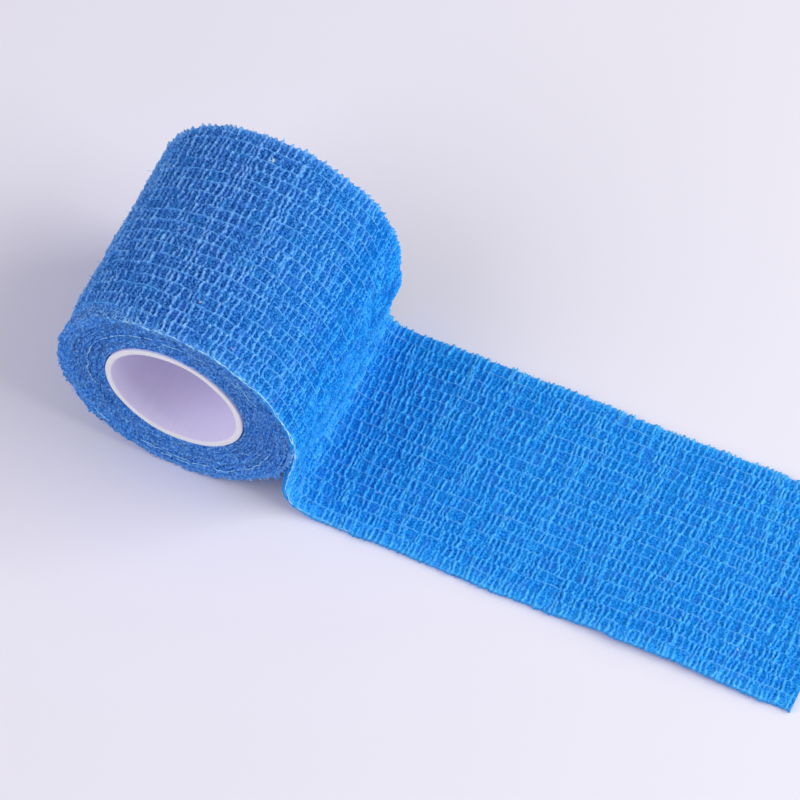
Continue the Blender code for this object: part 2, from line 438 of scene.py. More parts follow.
fold_random = np.random.default_rng(7)
first_folds = [TUCKED_END - FOLD_MARGIN]
while first_folds[-1] < CUT_END + FOLD_MARGIN:
    spacing = fold_random.uniform(1.0 - SPACING_SPREAD, 1.0 + SPACING_SPREAD)
    first_folds.append(first_folds[-1] + float(fold_pitch_at(first_folds[-1])) * spacing)
places = np.array(first_folds)
fold_count = len(places)
LANES = []
for lane in range(LANE_COUNT):
    shift = LANE_SHIFT * fold_random.normal(0.0, 1.0)
    unevenness = FOLD_JITTER * (1.0 + LOOSE_UNEVENNESS * (1.0 - stretch_at(places)))
    jitter = shift + unevenness * fold_random.normal(0.0, 1.0, fold_count)
    drift = soft_noise(places, DRIFT_PER_LANE * lane, FOLD_DRIFT)
    places = np.sort(places + jitter * fold_pitch_at(places) + drift)
    places[1:-1] += NEIGHBOUR_PULL * (0.5 * (places[:-2] + places[2:]) - places[1:-1])
    heights = 1.0 - FOLD_LOWERING * fold_random.random(fold_count) ** LOW_FOLD_RARITY
    heights[fold_random.random(fold_count) < FLAT_FOLD_SHARE] = FLAT_FOLD_HEIGHT
    bows = np.clip(fold_random.normal(0.0, FOLD_BOW, fold_count), -LARGEST_BOW, LARGEST_BOW)
    LANES.append(Lane(places.copy(), heights, bows))
print(LANE_COUNT, "lanes with", fold_count, "folds each")

# %% [markdown]
# Across a fold, one side is steep and the other slow, and a crease runs along both feet. The fold is
# bent by noise of two sizes, and it spreads where it meets a thread.

# %% The height of the folds
FOLD_STEEP_SIDE = 0.18
FOLD_SLOW_SIDE = 0.32
CREASE_PLACE = 0.48
CREASE_WIDTH = 0.17
FOLD_BENDS = (Grain(1.7, 1.5, 0.2, seed=21), Grain(0.7, 0.55, 0.2, seed=22))
THREAD_WIDENING = 0.3


def bell(distance, width):
    """A smooth hump: 1 in the middle, and almost 0 beyond twice its width."""
    return np.exp(-((distance / width) ** 2))


def lane_folds(along, across, near_thread):
    """How high the folds stand at each point, and how deep the creases beside them, from 0 to 1."""
    lane_place = (across - FIRST_THREAD) / THREAD_PITCH
    lanes = np.clip(np.floor(lane_place).astype(int), 0, LANE_COUNT - 1)
    belly = np.clip(1.0 - (2.0 * (lane_place - lanes) - 1.0) ** 2, 0.0, 1.0)
    bent = along + soft_noise(along, across, *FOLD_BENDS)
    widening = 1.0 + THREAD_WIDENING * near_thread
    fold = np.zeros_like(along)
    crease = np.zeros_like(along)
    for number, lane in enumerate(LANES):
        here = lanes == number
        spot = bent[here]
        after = np.clip(np.searchsorted(lane.places, spot), 2, len(lane.places) - 2)
        for near in (after - 2, after - 1, after, after + 1):
            past = spot - lane.places[near] - lane.bows[near] * belly[here]
            width = np.where(past > 0.0, FOLD_STEEP_SIDE, FOLD_SLOW_SIDE) * widening[here]
            fold[here] = np.maximum(fold[here], lane.heights[near] * bell(past, width))
            crease[here] = np.maximum(crease[here], bell(np.abs(past) - CREASE_PLACE, CREASE_WIDTH))
    return fold, crease


print("a fold's two sides are", FOLD_STEEP_SIDE, "and", FOLD_SLOW_SIDE, "mm wide")

# %% [markdown]
# A thread shows through the fleece in stretches of a few millimetres, and best on the roll's top. The
# cloth wanders a little sideways. Two places are worn or pushed out of shape: the near margin at the
# roll's left, which has lost its folds, and the far margin, which spreads where the strip leaves the
# roll. A margin is given by two limits: its effect starts at the first and is full at the second.

# %% Threads and margins
THREAD_SHOWING = (
    (-75.0, 0.35), (-50.0, 0.5), (-25.0, 0.65), (-8.0, 0.6), (2.0, 0.15), (10.0, 0.15), (22.0, 0.5),
)
THREAD_PATCHES = (Grain(3.0, THREAD_PITCH / 2.0, 0.5, seed=23), Grain(1.1, 1.0, 0.25, seed=26))
CLOTH_WANDER = (Grain(6.0, 4.0, 0.2, seed=29), Grain(1.2, 2.0, 0.07, seed=30))
FAR_SPREAD = ((-27.0, 0.0), (-20.0, 0.6), (0.0, 0.6), (5.0, 1.3), (12.0, 1.6), (17.0, 0.0))
SPREAD_MARGIN = (19.0, HALF_WIDTH)
WORN_STRETCH = ((-105.0, 0.0), (-95.0, 1.0), (-66.0, 1.0), (-52.0, 0.0))
WORN_MARGIN = (20.0, 23.0)


def ramp(value, limits):
    """0 up to the first limit, 1 from the second on, and a straight line between them."""
    start, full = limits
    return np.clip((value - start) / (full - start), 0.0, 1.0)


def thread_shows(along, across):
    """How much of a thread shows through the fleece, from 0 to 1."""
    return np.clip(follow(THREAD_SHOWING, along) + soft_noise(along, across, *THREAD_PATCHES), 0.0, 1.0)


def pushed_sideways(along, across):
    """How far the cloth lies beside its nominal place, in mm."""
    return soft_noise(along, across, *CLOTH_WANDER) + follow(FAR_SPREAD, along) * ramp(across, SPREAD_MARGIN)


print("the far margin spreads by", max(value for place, value in FAR_SPREAD), "mm")

# %% [markdown]
# Folds and threads together make the relief. Beside a thread the fleece is drawn up into a low wall,
# which closes each cell. The folds' height varies over half a millimetre, and a fine roughness and a
# broad looseness lie over it all.

# %% The relief of the cloth
GROUND = -0.4
FOLD_RISE = 0.8
CELL_FLOOR = 0.16
THREAD_RISE = 0.75
THREAD_WIDTH = 0.14
THREAD_WALL = 0.08
SHOWING_WALL = 0.2
WALL_WIDTH = 0.34
RISE_SHARE = 0.87
RISE_SPREAD = Grain(0.5, 0.5, 0.35, seed=27)
WORN_RISE = 0.4
WORN_SPREAD = Grain(0.45, 0.45, 0.3, seed=33)
ROUGHNESS = Grain(0.3, 0.45, 0.09, seed=24)
LOOSENESS = Grain(8.0, 6.0, 0.1, seed=25)


def crinkle(along, across):
    """The relief in mm over the strip's nominal outer face, and how far up a fold a point lies."""
    from_thread = np.abs((across - FIRST_THREAD + THREAD_PITCH / 2.0) % THREAD_PITCH - THREAD_PITCH / 2.0)
    near_thread = bell(from_thread, WALL_WIDTH)
    shows = thread_shows(along, across)
    wall = near_thread * (THREAD_WALL + SHOWING_WALL * shows)
    fold, crease = lane_folds(along, across, near_thread)
    rise = np.maximum(fold, CELL_FLOOR * (1.0 - crease))
    rise = 1.0 - (1.0 - rise) * (1.0 - wall)
    rise = np.maximum(rise, THREAD_RISE * shows * bell(from_thread, THREAD_WIDTH))
    rise = rise * (RISE_SHARE + soft_noise(along, across, RISE_SPREAD))
    worn = WORN_RISE + soft_noise(along, across, WORN_SPREAD)
    rise = rise + follow(WORN_STRETCH, along) * ramp(-across, WORN_MARGIN) * (worn - rise)
    relief = GROUND + FOLD_RISE * rise + soft_noise(along, across, ROUGHNESS, LOOSENESS)
    return relief, np.clip(rise, 0.0, 1.0)


print("relief at the first folds:", crinkle(np.linspace(0.0, 2.0, 5), np.full(5, 1.2))[0].round(2), "mm")

# %% [markdown]
# From a flat grid to cloth
#
# A flat grid is the easiest mesh to make, and its points are easy to name: a column and a row. Here
# the columns go once round the strip's section and the rows run along it. The grid is bent into a
# thin sleeve, its two side edges are welded, and its ends are filled, so the cloth is a closed shell
# with a fine outer face, a ragged edge on each side and a plain inner face.


# %% Grids and what their points carry
def flat_grid(name, columns, rows):
    """A grid mesh, and the column and the row of each of its points."""
    bm = bmesh.new()
    bmesh.ops.create_grid(bm, x_segments=columns - 1, y_segments=rows - 1, size=0.5)
    mesh = mesh_from(bm, name)
    flat = np.empty(len(mesh.vertices) * 3)
    mesh.vertices.foreach_get("co", flat)
    x, y = flat.reshape(-1, 3)[:, :2].T
    return mesh, np.rint((x + 0.5) * (columns - 1)).astype(int), np.rint((y + 0.5) * (rows - 1)).astype(int)


def move_points(mesh, points):
    """Put a mesh's points at places given in mm."""
    mesh.vertices.foreach_set("co", (np.asarray(points) * MM).ravel())
    mesh.update()


def paint_points(mesh, name, values):
    """Store one number for each point, for a material to read."""
    attribute = mesh.attributes.new(name, "FLOAT", "POINT")
    attribute.data.foreach_set("value", np.asarray(values, dtype=np.float32))


def lay_map(mesh, along, across):
    """A UV map in metres of cloth: along the strip and across it."""
    corners = np.empty(len(mesh.loops), dtype=np.int32)
    mesh.loops.foreach_get("vertex_index", corners)
    layer = mesh.uv_layers.new(name="cloth")
    places = np.stack((along[corners], across[corners]), axis=-1) * MM
    layer.data.foreach_set("uv", places.astype(np.float32).ravel())


# %% Closed shells and finished pieces
WELD_DISTANCE = 0.002


def close_shell(mesh):
    """Weld the seams, fill the open ends with sharp-edged caps and turn the faces outward."""
    bm = bmesh.new()
    bm.from_mesh(mesh)
    bmesh.ops.remove_doubles(bm, verts=bm.verts[:], dist=WELD_DISTANCE * MM)
    bmesh.ops.dissolve_degenerate(bm, edges=bm.edges[:], dist=WELD_DISTANCE * MM)
    rim = [edge for edge in bm.edges if edge.is_boundary]
    if rim:
        bmesh.ops.holes_fill(bm, edges=rim, sides=0)
        for edge in rim:
            edge.smooth = False
    bmesh.ops.recalc_face_normals(bm, faces=bm.faces[:])
    for face in bm.faces:
        face.smooth = True
    bm.to_mesh(mesh)
    print(mesh.name, "open edges:", sum(1 for edge in bm.edges if not edge.is_manifold))
    bm.free()


def finish_piece(name, mesh, material):
    """Make a mesh a piece of the scene that moves with the body."""
    mesh.materials.append(material)
    piece = add_object(name, mesh)
    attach(piece, "root")
    mesh.calc_loop_triangles()
    print(name, len(mesh.loop_triangles), "triangles")
    return piece


# %% [markdown]
# The fleece
#
# The cloth is a spun-bonded polyester fleece, dyed blue and dusted with latex so that it sticks only
# to itself. It is matt, and its finest fibres give it a faint pale sheen. Its folds are painted pale
# and the pits between them deep blue: partly the fleece's own colour, and partly a painted highlight
# on the folds and painted shade in the pits. The material reads how far up a fold each point lies,
# and adds fibre flecks that run with the cloth. Real fibres are 0.02 mm thick, too fine to show, so
# the flecks are drawn twenty times as coarse. Where the cloth is still stretched on the roll, each of
# its three blues is painted a little greyer and darker there: painted shade, and a grey painted sheen.
# Two faint tints, in patches of a few millimetres, keep the dye from looking even.

# %% The fleece's blues
# The wound blues are painted shade and a grey painted sheen, laid over the loose blues on the roll.
Blue = namedtuple("Blue", "loose wound")
PIT_BLUE = Blue(loose="0466C6", wound="023C8E")
GROUND_BLUE = Blue(loose="2A9FF8", wound="488CE2")
FOLD_BLUE = Blue(loose="5EC2FF", wound="8EC8FF")
CYAN_TINT = "2098DC"
VIOLET_TINT = "4478E2"
FLECK_SHARE = 1.6

Mottling = namedtuple("Mottling", "size detail shift")
MOTTLINGS = (Mottling(2.6, 3.0, shift=0.0), Mottling(3.4, 2.0, shift=0.37), Mottling(0.45, 3.0, shift=0.11))
MATT_FLEECE = {
    "Roughness": 0.9,
    "Specular IOR Level": 0.02,
    "Sheen Weight": 0.12,
    "Sheen Roughness": 0.45,
    "Sheen Tint": hex_colour("7CC4FF"),
}

Dye = namedtuple("Dye", "mask colour starts full least most", defaults=(0.0, 1.0))


def dyed(tree, colour, *dyes):
    """Lay dyes over a colour. Each one shows as much as its mask says, from where that starts to full."""
    for dye in dyes:
        limits = {"From Min": dye.starts, "From Max": dye.full, "To Min": dye.least, "To Max": dye.most}
        share = add_node(tree, "MapRange", {**limits, "Value": dye.mask})
        mixed = {"data_type": "RGBA", 0: share, MIX_A: colour, MIX_B: dye.colour}
        colour = add_node(tree, "Mix", mixed, out=MIX_RESULT)
    return colour


print("the fleece's folds are", FOLD_BLUE.loose, "when loose and", FOLD_BLUE.wound, "when wound")


# %% The fleece's material
def make_fleece():
    fleece, tree = new_material("spunbond_fleece_blue")
    rise = add_node(tree, "Attribute", {"attribute_name": "rise"}, out="Fac")
    stretch = add_node(tree, "Attribute", {"attribute_name": "stretch"}, out="Fac")
    place = add_node(tree, "UVMap", {"uv_map": "cloth"})
    noises = []
    for layer in MOTTLINGS:
        moved = add_node(tree, "Mapping", {"Location": (layer.shift, layer.shift, 0.0), "Vector": place})
        pattern = {"noise_dimensions": "2D", "Detail": layer.detail, "Roughness": 0.6, "Vector": moved}
        noises.append(add_node(tree, "TexNoise", {"Scale": 1.0 / (layer.size * MM), **pattern}))
    cyans, violets, flecks = noises
    fleck_range = {"To Min": -FLECK_SHARE / 2.0, "To Max": FLECK_SHARE / 2.0}
    fleck_tone = add_node(tree, "MapRange", {**fleck_range, "Value": flecks})
    tone = add_node(tree, "Math", {"operation": "ADD", 0: rise, 1: fleck_tone})
    blues = []
    # The stretch mask paints the roll's blues greyer and darker: painted shade and a grey painted sheen.
    for blue in (PIT_BLUE, GROUND_BLUE, FOLD_BLUE):
        ends = {MIX_A: hex_colour(blue.loose), MIX_B: hex_colour(blue.wound)}
        blues.append(add_node(tree, "Mix", {"data_type": "RGBA", 0: stretch, **ends}, out=MIX_RESULT))
    pit, ground, fold = blues
    # The tone paints a highlight on the folds and shade in the pits and creases, over the fleece's own
    # blues.
    cloth_blue = dyed(
        tree,
        pit,
        Dye(tone, ground, starts=-0.1, full=0.36),
        Dye(tone, fold, starts=0.36, full=0.93),
        Dye(cyans, hex_colour(CYAN_TINT), starts=0.52, full=0.75, most=0.3),
        Dye(violets, hex_colour(VIOLET_TINT), starts=0.54, full=0.78, most=0.3),
    )
    bump = add_node(tree, "Bump", {"Strength": 0.7, "Distance": 0.15 * MM, "Height": flecks})
    shader = add_node(tree, "BsdfPrincipled", {**MATT_FLEECE, "Base Color": cloth_blue, "Normal": bump})
    add_node(tree, "OutputMaterial", {"Surface": shader})
    return fleece


fleece = make_fleece()
print("fleece nodes:", len(fleece.node_tree.nodes))

# %% [markdown]
# The columns of the section
#
# The columns sit close together at each thread, where the relief changes fast, and further apart in
# the lanes, where the folds cross them. That spends the triangles where they show.

# %% The columns of the section
LANE_SHARES = (0.0, 0.06, 0.2, 0.4, 0.6, 0.8, 0.94)
RIM_DEPTHS = (0.22, 0.45, 0.7, 0.92)
INNER_COLUMNS = 9
INNER_MARGIN = 0.4

SectionPoint = namedtuple("SectionPoint", "across depth edge")


def section_points():
    """The strip's closed section: outer face, far edge, inner face, near edge."""
    threads = [FIRST_THREAD + THREAD_PITCH * lane for lane in range(LANE_COUNT)]
    outer = [thread + THREAD_PITCH * share for thread in threads for share in LANE_SHARES]
    outer = [-HALF_WIDTH, *outer, -FIRST_THREAD, HALF_WIDTH]
    points = [SectionPoint(across, 0.0, abs(across) == HALF_WIDTH) for across in outer]
    points += [SectionPoint(HALF_WIDTH, depth, True) for depth in RIM_DEPTHS]
    inner = np.linspace(HALF_WIDTH - INNER_MARGIN, -HALF_WIDTH + INNER_MARGIN, INNER_COLUMNS)
    points += [SectionPoint(across, 1.0, False) for across in inner]
    points += [SectionPoint(-HALF_WIDTH, depth, True) for depth in reversed(RIM_DEPTHS)]
    return points


SECTION = section_points()
print(len(SECTION), "columns round the section")

# %% [markdown]
# The shape of the cloth
#
# The roll isn't quite round: it bulges at its left. The near edge of the outermost wrap curls in, and
# its foot turns out as a small lip. Both cut edges are ragged, with a tooth at the end of each fold.

# %% How the wrap departs from a true spiral
LEFT_BULGE = ((95.0, 0.0), (150.0, 0.62), (215.0, 0.62), (260.0, 0.0))
BULGE_MARGIN = (-24.0, -19.0)
NEAR_CURL = 0.55
CURL_MARGIN = (21.5, HALF_WIDTH)
FOOT_LIP = 1.1
LIP_ANGLES = ((315.0, 0.0), (345.0, 1.0), (366.0, 1.0), (374.0, 0.7))
CURL_FADE = (0.0, 25.0)


def wound_form(along, across):
    """How the outermost wrap departs from a true spiral, in mm outward."""
    degrees = np.interp(along, ALONG[:WOUND_PLACES], WOUND_DEGREES)
    bulge = follow(LEFT_BULGE, degrees) * ramp(across, BULGE_MARGIN)
    curl = NEAR_CURL - (NEAR_CURL + FOOT_LIP) * follow(LIP_ANGLES, degrees)
    return bulge - ramp(-along, CURL_FADE) * curl * ramp(-across, CURL_MARGIN) ** 2


print("the left side stands out by", follow(LEFT_BULGE, 180.0), "mm")

# %% Ragged edges, pale fuzzy margins and painted shade
FINE_RAGS = Grain(0.45, 0.35, 0.24, seed=31)
BROAD_RAGS = Grain(1.4, 1.0, 0.144, seed=32)
RAG_PER_SIDE = 5.0
NEAR_TOOTH = 0.25
FAR_TOOTH = 0.38
WOUND_TOOTH = 0.3
TOOTH_BLUNTNESS = 1.5
TOOTH_ROOT = 0.4
# Painted shade, laid into the colour along the roll's right side and down the drop to the table.
PAINTED_SHADE_TONE = 0.28
PAINTED_SHADE_ALONG = ((-50.0, 0.0), (-26.0, 0.2), (-12.0, 0.8), (8.0, 1.5), (22.0, 0.0))
FUZZ_TONE = 0.2
FUZZY_MARGIN = (22.8, 24.4)
NEAR_FUZZY_MARGIN = (21.0, 24.5)
NEAR_FUZZ_FADE = (0.0, 15.0)


def ragged_edge(along, side, depth, rise):
    """How far the cut edge stands out past the nominal width, in mm: each fold ends in a tooth."""
    rags = soft_noise(along, depth + RAG_PER_SIDE * side, FINE_RAGS) + soft_noise(along, side, BROAD_RAGS)
    tooth = np.where(side > 0.0, FAR_TOOTH + WOUND_TOOTH * stretch_at(along), NEAR_TOOTH)
    return rags + tooth * (np.clip(TOOTH_BLUNTNESS * rise, 0.0, 1.0) - TOOTH_ROOT)


def form_tone(along, across):
    """Painted shade on the roll's right side and down the drop, and lighter at the cloth's fuzzy margins."""
    near = ramp(-across, NEAR_FUZZY_MARGIN) * ramp(along, NEAR_FUZZ_FADE)
    fuzz = FUZZ_TONE * np.maximum(near, ramp(np.abs(across), FUZZY_MARGIN))
    # Painted shade on the roll's right side and the drop, taken off the tone.
    return fuzz - PAINTED_SHADE_TONE * follow(PAINTED_SHADE_ALONG, along)


print("teeth at the far edge are up to", round(FAR_TOOTH + WOUND_TOOTH, 2), "mm long on the roll")

# %% Bending a grid to the strip
RIM_TONE = 0.35
RIM_MAP_WIDTH = 3.0


def make_cloth(name, start, end, step, material):
    """A stretch of the strip as a closed, crinkled sleeve."""
    rows = int(round((end - start) / step)) + 1
    mesh, column, row = flat_grid(name, len(SECTION) + 1, rows)
    column %= len(SECTION)
    along = start + (end - start) * row / (rows - 1.0)
    across, depth, at_edge = [np.array(values)[column] for values in zip(*SECTION)]
    relief, rise = crinkle(along, across)
    side = np.sign(across)
    across = across + np.where(at_edge, side * ragged_edge(along, side, depth, rise), 0.0)
    lift = (HALF_THICKNESS + relief) * (1.0 - depth) - HALF_THICKNESS * depth + wound_form(along, across)
    move_points(mesh, strip_points(along, across + pushed_sideways(along, across), lift))
    # The tone is partly the fleece's own colour and partly painted light: painted shade in the pits and
    # creases, a painted highlight on the folds, and the painted shade of the drop.
    tone = np.maximum(rise * (1.0 - depth), RIM_TONE * at_edge) + form_tone(along, across)
    paint_points(mesh, "rise", tone)
    # The stretch attribute is also the mask of the roll's painted shade and grey painted sheen.
    paint_points(mesh, "stretch", stretch_at(along))
    lay_map(mesh, along, across + RIM_MAP_WIDTH * depth)
    close_shell(mesh)
    piece = finish_piece(name, mesh, material)
    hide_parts("bandage_strip")
    return piece


print("the rim is mapped", RIM_MAP_WIDTH, "mm wide, so that its flecks aren't drawn out")

# %% [markdown]
# The outermost wrap and the loose end
#
# They are one cloth. It is made as three meshes that meet in the same points, two for the wrap and
# one for the loose end, so that each stays a mesh of modest size.

# %% The outermost wrap and the loose end
CLOTH_STEP = 0.205
WRAP_SPLIT = -80.0

outer_wrap_under = make_cloth("outer_wrap_under", TUCKED_END, WRAP_SPLIT, CLOTH_STEP, fleece)
outer_wrap = make_cloth("outer_wrap", WRAP_SPLIT, 0.0, CLOTH_STEP, fleece)
loose_end = make_cloth("loose_end", 0.0, CUT_END, CLOTH_STEP, fleece)
print("the loose end is", round(CUT_END, 1), "mm long")

# %% [markdown]
# The wound edges
#
# Below the outermost wrap lie fifteen more, tight on each other. Only their edges show, on the two
# end faces. Each edge is a crinkled, fuzzy ridge about 0.7 mm wide, and the ridges follow one spiral.
# The body is a sleeve again: the columns go down one face, through the bore and up the other face,
# and the rows go once round. After one round every column is a turn further in, so the seam welds to
# its neighbour and the ridges run on.

# %% The section of the wound body
COLUMNS_PER_WRAP = 4
WOUND_ROWS = 660
SIDE_PLACES = (24.6, 23.0, 12.0, -12.0, -20.0, -22.0, -23.2, -24.2)


def wound_section():
    """Samples in turns from the outside, and across from -1 (near face) to 1 (far face)."""
    face = 1.0 + np.arange((WRAP_COUNT - 1) * COLUMNS_PER_WRAP + 1) / COLUMNS_PER_WRAP
    samples = np.concatenate((face, face[::-1], np.ones(len(SIDE_PLACES))))
    across = np.concatenate((-np.ones(len(face)), np.ones(len(face)), np.array(SIDE_PLACES) / HALF_WIDTH))
    return samples, across


WOUND_SAMPLES, WOUND_ACROSS = wound_section()
print(len(WOUND_SAMPLES), "columns round the wound body")

# %% [markdown]
# The end faces aren't flat. The inner wraps lie back and the outer ones stand proud, most of all at
# the left and below, where they catch the light; there the near face's outer band is also painted
# lighter, a painted highlight. The near rim spreads at the left, with the roll's bulge, and it is
# pressed in at the top. The core sits a little askew in the bore.

# %% The broad form of the end faces
NEAR_STEPS = ((16.0, -0.4), (19.0, -0.45), (21.5, -0.2), (23.2, 0.0), (24.0, 0.5), (27.3, 0.6))
FAR_STEPS = ((16.0, -0.4), (19.0, -0.3), (21.5, -0.45), (23.2, 0.0), (24.0, 0.3), (27.3, 0.3))
RIM_FLARE = (
    (0.0, 0.0), (40.0, -0.6), (100.0, -0.6), (135.0, 0.5), (160.0, 1.1),
    (235.0, 1.0), (300.0, 0.3), (335.0, 0.5), (360.0, 0.0),
)
LIT_BAND_ANGLES = ((120.0, 0.0), (150.0, 1.0), (285.0, 1.0), (330.0, 0.3), (360.0, 0.0))
LIT_BAND_RADII = (23.2, 23.8)
CORE_SHIFT = 0.45


def face_stand_out(radius, side):
    """How far the wraps at a radius stand out past the nominal width."""
    return np.where(side < 0, follow(NEAR_STEPS, radius), follow(FAR_STEPS, radius))


def core_shift(y):
    """The core sits a little askew: its near rim lies towards the left, in mm along X."""
    return -CORE_SHIFT * (0.5 - y / STRIP_WIDTH)


print("stand-out at 25 mm:", face_stand_out(25.0, NEAR).round(2), "mm")

# %% The crinkled surface of the end faces
GROOVE_DEPTH = 0.32
WRAP_SHIFT = Grain(12.0, 1.0, 0.2, seed=41)
EDGE_FUZZ = Grain(0.45, 0.6, 1.0, seed=42)
FUZZ_HEIGHT = 0.36
GROOVE_FUZZ = 0.35
EDGE_TEETH = Grain(1.5, 1.0, 1.0, seed=44)
TEETH_SHARE = 0.6
EDGE_WAVE = Grain(0.6, 0.5, 0.3, seed=43)
RIM_TEETH = Grain(0.8, 1.0, 0.35, seed=45)
TEETH_RADII = (25.0, 26.0)
NEAR_RIM = (0.86, 0.94)
RIM_RADII = (20.0, 26.0)
BULGE_RADII = (17.0, 27.0)
ASKEW_RADII = (18.0, 24.0)

# The ridge tone paints shade into the grooves between wraps; the band tone is a painted highlight.
EdgeTones = namedtuple("EdgeTones", "base ridge fuzz teeth band")
EDGE_TONES = EdgeTones(base=0.18, ridge=0.34, fuzz=0.4, teeth=0.2, band=0.4)


def wound_surface(samples, across, angle):
    """Points of the wound body in mm, and how light each one is painted: painted shade in the grooves, a
    painted highlight on the outer band.
    """
    turn = samples + angle / FULL_TURN
    wrap = np.floor(samples)
    phase = samples - wrap
    past = wrap + angle / FULL_TURN - 1.0
    along = FULL_TURN * (spiral_radius(1.0) * past - WOUND_PITCH * past * past / 2.0)
    degrees = np.degrees(angle)
    on_face = np.abs(across) == 1.0
    side = np.sign(across)
    free = np.clip(WRAP_COUNT - turn, 0.0, 1.0) * on_face
    ridge = np.sin(math.pi * phase)
    # Each side reads its noise at a place of its own, so that the two faces differ.
    fuzz = soft_noise(along, 3.0 * phase + 9.0 * side, EDGE_FUZZ)
    teeth = soft_noise(along, 5.0 * side, EDGE_TEETH)
    wave = soft_noise(along, phase + 7.0 * side, EDGE_WAVE)
    radius = spiral_radius(turn)
    # Painted highlight: the near face's outer band is painted lighter where it catches the light.
    band = follow(LIT_BAND_ANGLES, degrees) * ramp(radius, LIT_BAND_RADII) * (side < 0) * on_face
    stand_out = face_stand_out(radius, side) - free * GROOVE_DEPTH * (1.0 - ridge)
    stand_out = stand_out + free * soft_noise(along, side, WRAP_SHIFT)
    stand_out = stand_out + free * FUZZ_HEIGHT * (GROOVE_FUZZ + ridge) * (fuzz + TEETH_SHARE * teeth)
    radius = radius + free * ridge * wave
    near_rim = ramp(-across, NEAR_RIM)
    rim = ramp(radius, RIM_RADII) ** 2 * near_rim
    bulge = follow(LEFT_BULGE, degrees) * ramp(radius, BULGE_RADII)
    radius = radius + bulge * (1.0 - near_rim) + rim * follow(RIM_FLARE, degrees)
    radius = radius + rim * ramp(radius, TEETH_RADII) * soft_noise(along, across, RIM_TEETH)
    y = np.where(on_face, side * (HALF_WIDTH + stand_out), across * HALF_WIDTH)
    x = radius * np.cos(angle + LEAVE_ANGLE) + (1.0 - ramp(radius, ASKEW_RADII)) * core_shift(y)
    z = np.maximum(AXIS_HEIGHT + radius * np.sin(angle + LEAVE_ANGLE), TABLE_CLEARANCE)
    # Painted shade in the grooves, random fuzz and teeth, and a painted highlight on the outer band.
    light = EDGE_TONES.base + EDGE_TONES.ridge * ridge + EDGE_TONES.fuzz * fuzz
    light = light + EDGE_TONES.teeth * teeth + EDGE_TONES.band * band
    return np.stack((x, y, z), axis=-1), np.clip(light, 0.0, 1.0)


print("grooves between the wraps:", GROOVE_DEPTH, "mm deep")

# %% [markdown]
# The material of the wound edges is the same fleece, cut through. It shows more of the dark dye and
# less of the pale folds, so its blues are deeper, and its fuzz is read from the body's own relief,
# with painted shade in the grooves and a painted highlight on the near face's outer band.

# %% The wound edges' material
EDGE_DARK = "1A56B0"
EDGE_MIDDLE = "3E98F6"
EDGE_LIGHT = "90CAFF"
EDGE_GREY = "608CD2"
EDGE_GRAIN = 0.55
EDGE_PATCH = 4.0


def make_cut_fleece():
    cut_fleece, tree = new_material("spunbond_fleece_cut_edge")
    rise = add_node(tree, "Attribute", {"attribute_name": "rise"}, out="Fac")
    place = add_node(tree, "TexCoord", {}, out="Object")
    noises = []
    for size, detail in ((EDGE_GRAIN, 3.0), (EDGE_PATCH, 2.0)):
        pattern = {"Scale": 1.0 / (size * MM), "Detail": detail, "Roughness": 0.6, "Vector": place}
        noises.append(add_node(tree, "TexNoise", pattern))
    grain, patches = noises
    edge_blue = dyed(
        tree,
        hex_colour(EDGE_DARK),
        # The painted tone brings painted shade in the grooves and a painted highlight on the outer band.
        Dye(rise, hex_colour(EDGE_MIDDLE), starts=0.05, full=0.6),
        Dye(patches, hex_colour(EDGE_GREY), starts=0.35, full=0.7, least=0.1, most=0.5),
        Dye(grain, hex_colour(EDGE_DARK), starts=0.48, full=0.3, most=0.8),
        Dye(grain, hex_colour(EDGE_LIGHT), starts=0.49, full=0.68, most=0.95),
    )
    bump = add_node(tree, "Bump", {"Strength": 0.8, "Distance": 0.25 * MM, "Height": grain})
    matt = {"Roughness": 0.9, "Specular IOR Level": 0.1}
    shader = add_node(tree, "BsdfPrincipled", {**matt, "Base Color": edge_blue, "Normal": bump})
    add_node(tree, "OutputMaterial", {"Surface": shader})
    return cut_fleece


cut_fleece = make_cut_fleece()
print("cut fleece nodes:", len(cut_fleece.node_tree.nodes))

# %% The wound body
wound_mesh, column, row = flat_grid("wound_turns", len(WOUND_SAMPLES) + 1, WOUND_ROWS + 1)
column %= len(WOUND_SAMPLES)
angle = FULL_TURN * row / WOUND_ROWS
wound_points, wound_light = wound_surface(WOUND_SAMPLES[column], WOUND_ACROSS[column], angle)
move_points(wound_mesh, wound_points)
paint_points(wound_mesh, "rise", wound_light)
close_shell(wound_mesh)
wound_turns = finish_piece("wound_turns", wound_mesh, cut_fleece)
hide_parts("bandage_strip")

# %% [markdown]
# The core
#
# The core is a short tube of white polystyrene, cut from an extruded length. Its section is four
# corners, rounded, and spun once round the axis. The saw leaves the rim a little uneven, so the rim's
# points are moved by a few hundredths of a millimetre.

# %% The core's tube
CORE_WALL = 1.42
CORE_STEPS = 160
RIM_ROUNDING = 0.3
RIM_SEGMENTS = 4
RIM_UNEVENNESS = 0.07
SAWN_DEPTH = 0.6 * RIM_ROUNDING
SHARP_ANGLE = math.radians(40.0)


def saw_wave(angle):
    """How uneven the saw left the rim at each angle, from about -1.6 to 1.6."""
    return math.sin(3.0 * angle + 0.7) + 0.6 * math.sin(7.0 * angle + 2.0)


